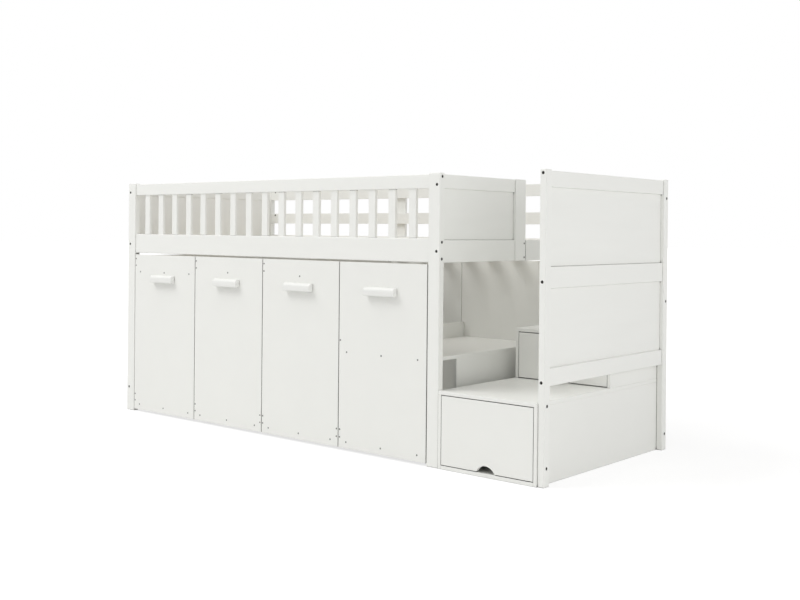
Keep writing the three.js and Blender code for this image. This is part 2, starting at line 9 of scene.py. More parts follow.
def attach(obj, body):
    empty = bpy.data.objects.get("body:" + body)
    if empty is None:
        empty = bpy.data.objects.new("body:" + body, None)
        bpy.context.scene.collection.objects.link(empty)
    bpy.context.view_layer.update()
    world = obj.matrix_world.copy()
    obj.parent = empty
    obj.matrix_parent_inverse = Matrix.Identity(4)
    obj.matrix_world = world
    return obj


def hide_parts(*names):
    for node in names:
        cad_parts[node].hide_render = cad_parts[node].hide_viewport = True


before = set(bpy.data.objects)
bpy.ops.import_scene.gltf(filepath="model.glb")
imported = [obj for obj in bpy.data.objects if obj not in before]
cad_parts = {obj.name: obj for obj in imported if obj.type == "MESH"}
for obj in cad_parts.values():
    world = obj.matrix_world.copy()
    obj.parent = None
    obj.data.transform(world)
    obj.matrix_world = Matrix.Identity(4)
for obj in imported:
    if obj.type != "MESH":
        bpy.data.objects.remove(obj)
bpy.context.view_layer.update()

# BED FRAME
# Four corner posts, rails and upright slats of planed pine, primed and painted a warm white. The rails are
# bolted end-on into the posts, the slats and thin end panels are let into the rails. The paint is a satin
# lacquer, so the grain only shows as a faint relief and the eased corners are worn a touch darker.

FRAME_WHITE = (0.870, 0.875, 0.842)
RUBBED_WHITE = (0.74, 0.72, 0.65)
# Near black for the painted shade in narrow gaps between boards.
GAP_SHADE = (0.035, 0.033, 0.030)
GAP_REACH = 0.020
GAP_STARTS = 0.44
GAP_FULL = 0.24
FRAME_EASE = 0.002


def add(tree, kind, sockets=None, **settings):
    """One shader node with its settings made, its sockets given as name or place: value or other output."""
    made = tree.nodes.new("ShaderNode" + kind)
    for name, value in settings.items():
        setattr(made, name, value)
    for name, value in (sockets or {}).items():
        if isinstance(value, bpy.types.NodeSocket):
            tree.links.new(value, made.inputs[name])
        else:
            made.inputs[name].default_value = value
    return made


def finish(name):
    """An empty finish: its tree, its shader, and Object coordinates."""
    material = bpy.data.materials.new(name)
    material.use_nodes = True
    tree = material.node_tree
    shader = tree.nodes["Principled BSDF"]
    return material, tree, shader, tree.nodes.new("ShaderNodeTexCoord").outputs["Object"]


def stretched(tree, where, along, fine, long):
    """Coordinates scaled to run long along one axis (0, 1 or 2) and fine across it, in cells a metre."""
    scale = [fine, fine, fine]
    scale[along] = long
    return add(tree, "Mapping", {"Vector": where, "Scale": scale}).outputs[0]


def noise(tree, where, scale, detail=2.0, distortion=0.0):
    """Smooth noise between 0 and 1."""
    sockets = {"Vector": where, "Scale": scale, "Detail": detail, "Distortion": distortion}
    return add(tree, "TexNoise", sockets).outputs[0]


def between(tree, value, start, end, low=0.0, high=1.0):
    """A value carried from one range to another, and held at its ends."""
    sockets = {"Value": value, "From Min": start, "From Max": end, "To Min": low, "To Max": high}
    return add(tree, "MapRange", sockets).outputs[0]


def mixed(tree, share, first, second):
    """One colour turning into another by a share."""
    made = add(tree, "Mix", {0: share}, data_type="RGBA")
    for place, colour in ((6, first), (7, second)):
        if isinstance(colour, bpy.types.NodeSocket):
            tree.links.new(colour, made.inputs[place])
        else:
            made.inputs[place].default_value = (*colour, 1.0)
    return made.outputs[2]


def relief(tree, height, depth, under=None):
    """A bump of so many metres, laid over another normal."""
    sockets = {"Height": height, "Strength": 1.0, "Distance": depth}
    if under is not None:
        sockets["Normal"] = under
    return add(tree, "Bump", sockets).outputs[0]


def eased_edges(tree, radius):
    """A normal rounded over the sharp edges, and how near each point is to one, from 0 to 1."""
    rounded = add(tree, "Bevel", {"Radius": radius}, samples=4).outputs[0]
    plain = tree.nodes.new("ShaderNodeNewGeometry").outputs["Normal"]
    match = add(tree, "VectorMath", {0: rounded, 1: plain}, operation="DOT_PRODUCT").outputs["Value"]
    return rounded, between(tree, match, 0.985, 0.80)


def painted_gap_shade(tree, coat):
    """A coat painted near black where more than half of what a point faces is nearer than 20 mm, as in the
    narrow gaps between two boards: painted shade in the gaps. In a corner of two boards just half of it is,
    and the corner stays unshaded."""
    open_share = add(tree, "AmbientOcclusion", {"Distance": GAP_REACH}, samples=20).outputs["AO"]
    return mixed(tree, between(tree, open_share, GAP_STARTS, GAP_FULL), coat, GAP_SHADE)


def painted_timber(name, along):
    """Painted pine with its grain along one axis: long ridges a few millimetres apart under a fine orange
    peel, the colour a hundredth or two lighter and darker in slow patches, rubbed at the edges, and with
    painted shade near black in narrow gaps."""
    material, tree, shader, where = finish(name)
    rounded, edge = eased_edges(tree, FRAME_EASE)
    grain = noise(tree, stretched(tree, where, along, 260.0, 5.0), 1.0, 3.0, 0.4)
    peel = noise(tree, where, 1400.0, 1.0)
    patches = noise(tree, stretched(tree, where, along, 22.0, 3.0), 1.0, 2.0)
    rubbed = add(tree, "Math", {0: edge, 1: between(tree, noise(tree, where, 60.0, 3.0), 0.42, 0.66)},
                 operation="MULTIPLY").outputs[0]
    lighter = tuple(channel * 1.012 for channel in FRAME_WHITE)
    darker = tuple(channel * 0.980 for channel in FRAME_WHITE)
    coat = mixed(tree, patches, darker, lighter)
    faint = between(tree, rubbed, 0.0, 1.0, 0.0, 0.35)
    tree.links.new(painted_gap_shade(tree, mixed(tree, faint, coat, RUBBED_WHITE)), shader.inputs["Base Color"])
    tree.links.new(between(tree, grain, 0.3, 0.7, 0.36, 0.46), shader.inputs["Roughness"])
    ridged = relief(tree, grain, 0.00030, rounded)
    tree.links.new(relief(tree, peel, 0.00004, ridged), shader.inputs["Normal"])
    return material


def dress(material, *nodes):
    """Gives CAD nodes their finish."""
    for node in nodes:
        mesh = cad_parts[node].data
        mesh.materials.clear()
        mesh.materials.append(material)


grain_along_x = painted_timber("painted_pine_lengthwise", 0)
grain_along_y = painted_timber("painted_pine_crosswise", 1)
grain_upright = painted_timber("painted_pine_upright", 2)
dress(grain_upright, "front_left_post", "front_right_post", "rear_left_post", "rear_right_post")
dress(grain_upright, "rear_mid_post", "right_mid_post")
dress(grain_along_x, "front_guard", "front_side_rail", "rear_top_rail", "rear_mid_rail", "rear_side_rail")
dress(grain_along_y, "left_guard", "left_end_rail", "left_low_rail", "right_guard", "right_end_rail")

# BOLTS AND CROSS DOWELS
# Blackened steel bolts with a hexagon socket, sunk just below the paint, and the round slotted nuts that
# they screw into, pushed in from the rails' hidden faces. The posts are bored wider here than in the CAD,
# for heads as wide as the photograph's dark dots. The grab post keeps its thinner bolts.

BED_LENGTH = 2068.0
BED_DEPTH = 980.0
OUTER_FACE = 2562.0
HANDLE_PROUD = 25.0
SHARP_EDGE = 32.0
BOLT_RADIUS = 6.0
BOLT_SUNK = 0.5
BOLT_RIM, BOLT_DOME, BOLT_SKIRT = 0.5, 0.25, 3.6
SOCKET_FLATS = 5.0
THIN_BOLT_RADIUS = 4.4
THIN_SOCKET_FLATS = 4.0
SOCKET_DEPTH = 2.8
BORE_RADIUS = 6.2
BORE_SIDES = 24
BORE_DEPTH = 5.0
BORE_OVERRUN = 2.0
POST_MARGIN = 0.001
DOWEL_RADIUS = 5.0
DOWEL_PROUD = 0.5
DOWEL_IN_RAIL = 36.0
POST_WIDTH = 58.0
POST_DEPTH = 30.0
POST_BOLT = 16.0
TOP_RAIL_BOLT = 1161.0
MID_RAIL_BOLT = 1027.0
LOW_RAIL_BOLT = 120.0
FRONT_RAIL_BACK = 28.0
REAR_RAIL_FRONT = 952.0
REAR_RAIL_MIDDLE = 964.0
REAR_GUARD_FRONT = 950.0
REAR_GUARD_MIDDLE = 957.5
LEFT_RAIL_INSIDE = 28.0
RIGHT_RAIL_INSIDE = 2040.0
GRAB_POST_MIDDLE = 599.5


def shared_frame(points):
    """Millimetres from the bed's left end, front face and floor, as metres in the shared frame."""
    origin = np.array([OUTER_FACE / 2, (BED_DEPTH - HANDLE_PROUD) / 2, 0.0])
    return (np.asarray(points, float) - origin) / 1000.0


def head_angles():
    """24 angles round a head, six to a quarter, three of them at the corners of a cross recess."""
    quarter = np.radians([0.0, 16.0, 30.0, 45.0, 60.0, 74.0])
    return (quarter[None, :] + np.radians([0.0, 90.0, 180.0, 270.0])[:, None]).ravel()


def hexagon(angles, flats):
    """Distance to a hexagon's side: half its flats over the cosine of the angle from the nearest flat."""
    turn = np.radians(60.0)
    return flats / 2 / np.cos((angles + turn / 2) % turn - turn / 2)


def bar_outline(angles, half_length, half_width):
    """Distance to a rectangle's side: the nearer of its end and its long side along each angle."""
    across = np.maximum(np.abs(np.cos(angles)), 1e-6)
    up = np.maximum(np.abs(np.sin(angles)), 1e-6)
    return np.minimum(half_length / across, half_width / up)


def cross(angles, half_length, half_width):
    """Two rectangles at right angles: the further of their sides."""
    lying = bar_outline(angles, half_length, half_width)
    standing = bar_outline(angles + np.pi / 2, half_length, half_width)
    return np.maximum(lying, standing)


def driven_head(outline, radius, depth, rim, dome, skirt):
    """A round head with a recess. Rings run from the recess's middle to its wall, over the wall's lip,
    across a dome that falls with the square of the distance, round the rim, down the skirt and in below.
    Returns points with height along +Z, and faces whose sides turn outwards."""
    angles = head_angles()
    inner = outline(angles)
    shares = np.array([0.0, 0.55, 0.85])
    circle = np.array([radius - 0.5 * rim, radius, radius])
    across = (inner[None, :] + 0.12) * (1 - shares[:, None]) + (radius - 1.6 * rim) * shares[:, None]
    around = np.repeat(circle[:, None], angles.size, 1)
    rings = np.vstack([inner * 0, inner * 0.96, inner, across, around, inner * 0])
    fall = dome * (rings / radius) ** 2
    level = np.array([-depth, -depth, -0.12, 0, 0, 0, -0.3 * rim, -rim, -skirt, -skirt])
    lift = level[:, None] - fall * (rings > inner)
    points = np.stack([rings * np.cos(angles), rings * np.sin(angles), lift], -1).reshape(-1, 3)
    return points, wrapped_faces(rings.shape[0], angles.size)


def wrapped_faces(rings, sides, bored=False):
    """Quads between neighbouring rings, with the last side joined to the first. Where the shape is bored,
    the last ring is joined to the first as well."""
    ring, side = np.meshgrid(np.arange(rings if bored else rings - 1), np.arange(sides), indexing="ij")
    next_ring, after = (ring + 1) % rings, (side + 1) % sides
    near, far = ring * sides, next_ring * sides
    return np.stack([near + side, far + side, far + after, near + after], -1).reshape(-1, 4)


def turned_to(points, out):
    """A head's points with their +Z turned to face out."""
    turn = Vector((0.0, 0.0, 1.0)).rotation_difference(Vector(out)).to_matrix()
    return points @ np.array(turn).T


def spread(points, faces, places):
    """Copies of one shape at many places, as one array of points and one of faces. A place is x, y, z and
    the way that the shape faces."""
    copies = [turned_to(points, out) + np.array([x, y, z]) for x, y, z, out in places]
    steps = np.arange(len(places)) * len(points)
    return np.concatenate(copies), (faces[None] + steps[:, None, None]).reshape(-1, faces.shape[1])


def closed_up(mesh, outwards=False):
    """Makes points that lie together one, and turns the faces outwards where that is asked."""
    loose = bmesh.new()
    loose.from_mesh(mesh)
    bmesh.ops.remove_doubles(loose, verts=loose.verts, dist=1e-6)
    if outwards:
        bmesh.ops.recalc_face_normals(loose, faces=loose.faces)
    loose.to_mesh(mesh)
    loose.free()


def mesh_from(name, points, faces, outwards=False):
    """A mesh from points in millimetres and faces."""
    mesh = bpy.data.meshes.new(name)
    mesh.from_pydata(shared_frame(points).tolist(), [], [list(face) for face in faces])
    closed_up(mesh, outwards)
    return mesh


def new_piece(name, points, faces, material, body, slot=None):
    """A piece from points in millimetres and faces, smooth but for its sharp edges, riding on a body. The
    points of a ring with no radius are merged into one, which closes the shape there."""
    mesh = mesh_from(name, points, faces)
    mesh.polygons.foreach_set("use_smooth", np.ones(len(mesh.polygons), bool))
    mesh.set_sharp_from_angle(angle=math.radians(SHARP_EDGE))
    mesh.materials.append(material)
    piece = bpy.data.objects.new(name, mesh)
    bpy.context.scene.collection.objects.link(piece)
    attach(piece, body)
    return piece


def metal(name, colour, roughness):
    """Plated steel: fine turning marks and a patchy polish."""
    material, tree, shader, where = finish(name)
    patches = noise(tree, where, 900.0, 3.0)
    dull = tuple(0.75 * channel for channel in colour)
    sheen = between(tree, patches, 0.3, 0.7, roughness - 0.06, roughness + 0.10)
    tree.links.new(mixed(tree, patches, dull, colour), shader.inputs["Base Color"])
    tree.links.new(sheen, shader.inputs["Roughness"])
    tree.links.new(relief(tree, noise(tree, where, 5200.0, 2.0), 0.00001), shader.inputs["Normal"])
    shader.inputs["Metallic"].default_value = 1.0
    return material


def bore():
    """A cylinder from just above a bolt's head to the bore's floor, closed at the middle of its ends."""
    angles = np.radians((np.arange(BORE_SIDES) + 0.5) * 360.0 / BORE_SIDES)
    radius = np.array([0.0, BORE_RADIUS, BORE_RADIUS, 0.0])[:, None]
    level = np.array([BORE_OVERRUN, BORE_OVERRUN, -BORE_DEPTH, -BORE_DEPTH])[:, None]
    points = np.stack([radius * np.cos(angles), radius * np.sin(angles), level + 0 * angles], -1)
    return points.reshape(-1, 3), wrapped_faces(len(level), BORE_SIDES)


def counterbored(node, places):
    """A post that takes its CAD node's place and finish, with its bolt holes widened. A bolt is the post's
    own where its place lies within a millimetre of the post's box, and a cylinder is taken away there."""
    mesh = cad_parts[node].data.copy()
    closed_up(mesh)
    corners = np.array([vertex.co for vertex in mesh.vertices])
    low, high = corners.min(0) - POST_MARGIN, corners.max(0) + POST_MARGIN
    middles = shared_frame([place[:3] for place in places])
    own = [place for place, at in zip(places, middles) if np.all(at > low) and np.all(at < high)]
    cutter = bpy.data.objects.new(node + "_bores", mesh_from(node + "_bores", *spread(*bore(), own), True))
    post = bpy.data.objects.new(node + "_counterbored", mesh)
    for made in (cutter, post):
        bpy.context.scene.collection.objects.link(made)
    cut = post.modifiers.new("bores", "BOOLEAN")
    cut.object, cut.operation, cut.solver = cutter, "DIFFERENCE", "EXACT"
    solved = post.evaluated_get(bpy.context.evaluated_depsgraph_get())
    post.data = bpy.data.meshes.new_from_object(solved)
    post.modifiers.clear()
    bpy.data.objects.remove(cutter)
    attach(post, "frame")
    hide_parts(node)


black_steel = metal("blackened_steel", (0.062, 0.060, 0.057), 0.48)
front, back, left, right, up = (0, -1, 0), (0, 1, 0), (-1, 0, 0), (1, 0, 0), (0, 0, 1)
END_RAIL_BOLTS = [1129.0, 862.5]
SIDE_RAIL_BOLTS = [899.0, 832.0]
GRAB_POST_BOLTS = [893.0, 832.0]
REAR_GUARD_BOLTS = [TOP_RAIL_BOLT, MID_RAIL_BOLT]
rear_face = BED_DEPTH - BOLT_SUNK
end_bolt_lines = (POST_BOLT, BED_LENGTH - POST_BOLT)
bolts = [(x, BOLT_SUNK, z, front) for x in end_bolt_lines for z in END_RAIL_BOLTS]
bolts += [(x, rear_face, z, back) for x in end_bolt_lines for z in END_RAIL_BOLTS]
bolts += [(POST_BOLT, BOLT_SUNK, LOW_RAIL_BOLT, front), (POST_BOLT, rear_face, LOW_RAIL_BOLT, back)]
for x, out in ((BOLT_SUNK, left), (BED_LENGTH - BOLT_SUNK, right)):
    bolts += [(x, POST_BOLT, z, out) for z in (TOP_RAIL_BOLT, *SIDE_RAIL_BOLTS)]
    bolts += [(x, REAR_RAIL_MIDDLE, z, out) for z in SIDE_RAIL_BOLTS]
    bolts += [(x, REAR_GUARD_MIDDLE, z, out) for z in REAR_GUARD_BOLTS]
bolt = driven_head(lambda angles: hexagon(angles, SOCKET_FLATS), BOLT_RADIUS, SOCKET_DEPTH, BOLT_RIM,
                   BOLT_DOME, BOLT_SKIRT)
new_piece("bed_bolts", *spread(*bolt, bolts), black_steel, "frame")
for node in ("front_left_post", "front_right_post", "rear_left_post", "rear_right_post"):
    counterbored(node, bolts)
thin_bolts = [(BED_LENGTH - BOLT_SUNK, GRAB_POST_MIDDLE, z, right) for z in GRAB_POST_BOLTS]
thin_bolt = driven_head(lambda angles: hexagon(angles, THIN_SOCKET_FLATS), THIN_BOLT_RADIUS, SOCKET_DEPTH,
                        BOLT_RIM, BOLT_DOME, BOLT_SKIRT)
new_piece("grab_post_bolts", *spread(*thin_bolt, thin_bolts), black_steel, "frame")

side_dowel_lines = (POST_WIDTH + DOWEL_IN_RAIL, BED_LENGTH - POST_WIDTH - DOWEL_IN_RAIL)
front_dowel_line = POST_DEPTH + DOWEL_IN_RAIL
rear_dowel_line = REAR_GUARD_FRONT - DOWEL_IN_RAIL
dowels = [(x, FRONT_RAIL_BACK, z, back) for x in side_dowel_lines
          for z in (TOP_RAIL_BOLT, *SIDE_RAIL_BOLTS)]
dowels += [(x, REAR_RAIL_FRONT, z, front) for x in side_dowel_lines for z in SIDE_RAIL_BOLTS]
dowels += [(x, REAR_GUARD_FRONT, z, front) for x in side_dowel_lines for z in REAR_GUARD_BOLTS]
dowels += [(LEFT_RAIL_INSIDE, y, z, right) for y in (front_dowel_line, rear_dowel_line)
           for z in (*END_RAIL_BOLTS, LOW_RAIL_BOLT)]
dowels += [(RIGHT_RAIL_INSIDE, front_dowel_line, z, left) for z in END_RAIL_BOLTS]
dowels += [(RIGHT_RAIL_INSIDE, rear_dowel_line, END_RAIL_BOLTS[1], left)]
slotted_nut = driven_head(lambda angles: bar_outline(angles, 3.9, 0.7), DOWEL_RADIUS, 0.45, 0.25, 0.0, 3.0)


def standing_proud(places, height):
    """The same places moved out by a height along the way that each faces."""
    return [(x + height * out[0], y + height * out[1], z, out) for x, y, z, out in places]


nut_places = standing_proud(dowels, DOWEL_PROUD)
new_piece("bed_cross_dowels", *spread(*slotted_nut, nut_places), black_steel, "frame")

# SLATTED DECK
# Bare planed pine: two ledgers along the side rails and fourteen slats screwed down across them. Each slat
# is cut from another plank, so its rings, its tone and its knots differ from its neighbours'.

EARLY_WOOD = (0.80, 0.74, 0.64)
LATE_WOOD = (0.65, 0.55, 0.43)
PALE_WOOD = (0.84, 0.80, 0.72)
KNOT = (0.24, 0.13, 0.065)
SLAT_PITCH = 144.769
SLAT_WIDTH = 70.0
SLAT_COUNT = 14
PLANK_MARGIN = 20.0


def bare_pine(name):
    """Planks side by side. Which plank a point is in is its distance along the bed over the slats' pitch.
    Rings are saw-tooth bands of the distance across the plank, stretched along it and pushed about by
    noise, so that the late wood ends sharply on one side. A knot is where the nearest of a few scattered
    points is close."""
    material, tree, shader, where = finish(name)
    rounded, edge = eased_edges(tree, 0.0012)
    parts = add(tree, "SeparateXYZ", {0: where}).outputs
    first_plank = shared_frame([POST_WIDTH - PLANK_MARGIN, 0.0, 0.0])[0]
    steps = add(tree, "Math", {0: parts[0], 1: first_plank}, operation="SUBTRACT").outputs[0]
    plank = add(tree, "Math", {0: steps, 1: SLAT_PITCH / 1000}, operation="DIVIDE").outputs[0]
    plank = add(tree, "Math", {0: plank}, operation="FLOOR").outputs[0]
    chance = add(tree, "TexWhiteNoise", {"W": plank}, noise_dimensions="1D")
    moved = add(tree, "VectorMath", {0: where, 1: chance.outputs["Color"]}, operation="ADD").outputs[0]
    long = stretched(tree, moved, 1, 1.0, 0.075)
    rings = add(tree, "TexWave", {"Vector": long, "Scale": 26.0, "Distortion": 7.0, "Detail": 3.0,
                                  "Detail Scale": 1.4}, wave_profile="SAW").outputs[1]
    fibre = noise(tree, stretched(tree, moved, 1, 900.0, 14.0), 1.0, 2.0)
    scattered = stretched(tree, moved, 1, 1.0, 0.6)
    knots = add(tree, "TexVoronoi", {"Vector": scattered, "Scale": 5.5}).outputs[0]
    knot = between(tree, knots, 0.085, 0.045)
    wood = mixed(tree, between(tree, rings, 0.35, 0.98, 0.0, 0.85), EARLY_WOOD, LATE_WOOD)
    toned = mixed(tree, between(tree, chance.outputs["Value"], 0.0, 1.0, 0.0, 0.22), wood, PALE_WOOD)
    fine = mixed(tree, between(tree, fibre, 0.45, 0.75, 0.0, 0.25), toned, LATE_WOOD)
    tree.links.new(mixed(tree, knot, fine, KNOT), shader.inputs["Base Color"])
    tree.links.new(between(tree, edge, 0.0, 1.0, 0.68, 0.56), shader.inputs["Roughness"])
    height = add(tree, "Math", {0: rings, 1: fibre}, operation="ADD").outputs[0]
    tree.links.new(relief(tree, height, 0.00012, rounded), shader.inputs["Normal"])
    return material


dress(bare_pine("bare_pine"), "slat_deck")
zinc_steel = metal("zinc_plated_steel", (0.24, 0.24, 0.235), 0.36)
DECK_TOP = 855.0
LEDGER_MIDDLES = (41.0, 939.0)
SCREW_RADIUS = 3.9
SCREW_PROUD = 0.75
slat_middles = POST_WIDTH + SLAT_WIDTH / 2 + np.arange(SLAT_COUNT) * SLAT_PITCH
deck_screws = [(x, y, DECK_TOP + SCREW_PROUD, up) for x in slat_middles for y in LEDGER_MIDDLES]
screw = driven_head(lambda angles: cross(angles, 2.3, 0.65), SCREW_RADIUS, 0.6, 0.2, 0.35, 2.0)
new_piece("deck_screws", *spread(*screw, deck_screws), zinc_steel, "frame")

# END FRAME BEYOND THE STAIRS
# The same painted pine: two slim posts, three rails and two thin panels, with two tie rails back to the
# bed. The bolts go through the posts' faces into the rails, and through the outer sides into the stairs.

OUTER_POST_WIDTH = 28.0
OUTER_POST_FRONT = 5.0
OUTER_POST_DEPTH = 38.0
OUTER_BOLT = 2547.0
OUTER_RAIL_INSIDE = 2536.0
OUTER_RAIL_BOLTS = (1162.0, 759.0, 387.0)
TIE_RAIL_FRONT = 956.0
TIE_RAIL_BOLTS = (1094.0, 647.0)
STAIR_FRONT_LINE, STAIR_REAR_LINE = 24.0, 966.0
STAIR_FRONT_BOLTS = (300.0, 70.0)
STAIR_REAR_BOLT = 70.0
dress(grain_upright, "outer_front_post", "outer_rear_post")
dress(grain_along_y, "outer_upper_guard", "outer_mid_rail", "outer_lower_guard")
dress(grain_along_x, "stair_rear_mid_rail", "stair_rear_top_rail")
outer_side = OUTER_FACE - BOLT_SUNK
end_bolts = [(OUTER_BOLT, OUTER_POST_FRONT + BOLT_SUNK, z, front) for z in OUTER_RAIL_BOLTS]
end_bolts += [(OUTER_BOLT, rear_face, z, back) for z in OUTER_RAIL_BOLTS]
end_bolts += [(outer_side, STAIR_FRONT_LINE, z, right) for z in STAIR_FRONT_BOLTS]
end_bolts += [(outer_side, STAIR_REAR_LINE, z, right) for z in (*TIE_RAIL_BOLTS, STAIR_REAR_BOLT)]
new_piece("end_frame_bolts", *spread(*bolt, end_bolts), black_steel, "frame")
for node in ("outer_front_post", "outer_rear_post"):
    counterbored(node, end_bolts)
outer_dowel_lines = (OUTER_POST_FRONT + OUTER_POST_DEPTH + DOWEL_IN_RAIL,
                     BED_DEPTH - OUTER_POST_DEPTH - DOWEL_IN_RAIL)
tie_dowel_lines = (BED_LENGTH + DOWEL_IN_RAIL, OUTER_FACE - OUTER_POST_WIDTH - DOWEL_IN_RAIL)
end_nuts = [(OUTER_RAIL_INSIDE, y, z, left) for y in outer_dowel_lines for z in OUTER_RAIL_BOLTS]
end_nuts += [(x, TIE_RAIL_FRONT, z, front) for x in tie_dowel_lines for z in TIE_RAIL_BOLTS]
end_nut_places = standing_proud(end_nuts, DOWEL_PROUD)
new_piece("end_frame_cross_dowels", *spread(*slotted_nut, end_nut_places), black_steel, "frame")

# STAIRCASE
# Boards of wood fibre with a satin white foil, butted and screwed: a base, two pairs of sides, two treads
# whose ends show, and a thin back. The foil is smoother than the painted pine, with a fine dimple and no
# grain.

BOARD_WHITE = (0.862, 0.866, 0.832)
BOARD_EASE = 0.0012


def coated_board(name, colour=BOARD_WHITE, roughness=0.40, dimple=1.0, gap_shaded=True):
    """A foiled board: dimples a millimetre across, a slow swell of a few centimetres in its sheen and its
    flatness, and edges where the foil is drawn thin and shows a little of the board."""
    material, tree, shader, where = finish(name)
    rounded, edge = eased_edges(tree, BOARD_EASE)
    swell = noise(tree, where, 9.0, 2.0)
    dimples = noise(tree, where, 1100.0, 1.0)
    lighter = tuple(channel * 1.008 for channel in colour)
    darker = tuple(channel * 0.986 for channel in colour)
    worn = add(tree, "Math", {0: edge, 1: between(tree, noise(tree, where, 45.0, 3.0), 0.45, 0.7)},
               operation="MULTIPLY").outputs[0]
    faint = between(tree, worn, 0.0, 1.0, 0.0, 0.30)
    coat = mixed(tree, faint, mixed(tree, swell, darker, lighter), RUBBED_WHITE)
    # Narrow gaps get painted shade near black, unless this is turned off.
    tree.links.new(painted_gap_shade(tree, coat) if gap_shaded else coat, shader.inputs["Base Color"])
    sheen = between(tree, swell, 0.3, 0.7, roughness - 0.03, roughness + 0.05)
    tree.links.new(sheen, shader.inputs["Roughness"])
    flat = relief(tree, swell, 0.0006, rounded)
    tree.links.new(relief(tree, dimples, 0.00003 * dimple, flat), shader.inputs["Normal"])
    return material


foiled_board = coated_board("foiled_board")
dress(foiled_board, "stair_base_board", "stair_left_side", "stair_right_side", "lower_tread")
dress(foiled_board, "upper_left_side", "upper_right_side", "upper_tread", "stair_back_panel")

# STAIR DRAWERS
# Each is a foiled front with a finger notch in its lower edge, and a box of thinner matt boards behind it
# with a hardboard bottom let into its walls. Two cam locks in each side draw the front on, with their faces
# inside.

drawer_board = coated_board("matt_drawer_board", (0.80, 0.80, 0.765), 0.55, 2.0)
dress(foiled_board, "lower_drawer_front", "upper_drawer_front")
dress(drawer_board, "lower_drawer_box", "upper_drawer_box")
BOX_INNER_LEFT, BOX_INNER_RIGHT = 2099.0, 2503.0
CAM_RADIUS = 7.5
CAM_PROUD = 0.8
CAM_FROM_FRONT = 24.0
cam = driven_head(lambda angles: cross(angles, 4.2, 1.1), CAM_RADIUS, 0.7, 0.3, 0.0, 3.0)
for name, front_back, heights in (("lower", 15.0, (80.0, 180.0)), ("upper", 555.0, (375.0, 425.0))):
    y = front_back + CAM_FROM_FRONT
    cams = [(BOX_INNER_LEFT + CAM_PROUD, y, z, right) for z in heights]
    cams += [(BOX_INNER_RIGHT - CAM_PROUD, y, z, left) for z in heights]
    new_piece(name + "_drawer_cams", *spread(*cam, cams), zinc_steel, name + "_drawer")

# UNITS ON WHEELS
# A desk, two wardrobes and a bench: a tall front panel and a rear panel, joined by a base board and low and
# high side rails, all of foiled board. They are screwed through the front, so small screw heads show there
# in rows.

# The carcasses and fittings inside the units get no painted shade in their gaps.
board_without_gap_shade = coated_board("foiled_board_inside", gap_shaded=False)
UNIT_NAMES = ["desk", "wardrobe_1", "wardrobe_2", "bench"]
UNIT_LEFTS = [62.0, 549.0, 1036.0, 1523.0]
UNIT_WIDTH = 483.0
UNIT_DEPTH = 885.0
fitting = {"desk": "top", "wardrobe_1": "rod", "wardrobe_2": "rod", "bench": "board"}
SCREW_FROM_SIDE = 45.0
RAIL_MIDDLE = 7.5
BASE_SCREWS = 38.0
DESK_TOP_SCREWS = 720.5
SEAT_SCREWS = 422.5
ROD_HEIGHT = 737.0
centre = UNIT_WIDTH / 2
across_unit = (SCREW_FROM_SIDE, centre, UNIT_WIDTH - SCREW_FROM_SIDE)
low_row = [(x, BASE_SCREWS) for x in across_unit]
left_rail = [(RAIL_MIDDLE, z) for z in (89.0, 56.0)]
high_rail = [(RAIL_MIDDLE, z) for z in (787.0, 753.0)]
right_rail = [(UNIT_WIDTH - RAIL_MIDDLE, z) for z in (89.0, 56.0)]
wardrobe_screws = low_row + left_rail + high_rail + right_rail + [(centre, ROD_HEIGHT)]
front_screws = {
    "desk": low_row + left_rail + high_rail + [(x, DESK_TOP_SCREWS) for x in across_unit],
    "wardrobe_1": wardrobe_screws,
    "wardrobe_2": wardrobe_screws,
    "bench": low_row + left_rail + [(x, SEAT_SCREWS) for x in across_unit] + [(RAIL_MIDDLE, 472.0)],
}
for name, start in zip(UNIT_NAMES, UNIT_LEFTS):
    dress(foiled_board, name + "_front_panel")
    dress(board_without_gap_shade, name + "_carcass", name + "_" + fitting[name])
    places = [(start + x, -SCREW_PROUD, z, front) for x, z in front_screws[name]]
    places += [(start + x, UNIT_DEPTH + SCREW_PROUD, z, back) for x, z in front_screws[name]]
    new_piece(name + "_screws", *spread(*screw, places), zinc_steel, name + "_unit")

# HANDLES
# Moulded in white plastic and screwed on from behind: a flat band against the panel, a round shoulder, and
# a lip with room for the fingers behind it. The ends are closed by thin cheeks and rounded over.

HANDLE_LENGTH = 168.0
HANDLE_TOP = 707.0
HANDLE_EASE = 1.6
HANDLE_CHEEK = 3.0
HANDLE_DROP = 36.0
CHEEK_OFF_PANEL = 2.5
HANDLE_SCREW_REACH = 64.0
HANDLE_SCREWS = HANDLE_TOP - 7.0
PANEL_THICK = 15.0


def arc(centre, radius, start, end, steps):
    """Points on a circle from one angle in degrees to another."""
    turn = np.radians(np.linspace(start, end, steps))
    return np.stack([centre[0] + radius * np.cos(turn), centre[1] + radius * np.sin(turn)], -1)


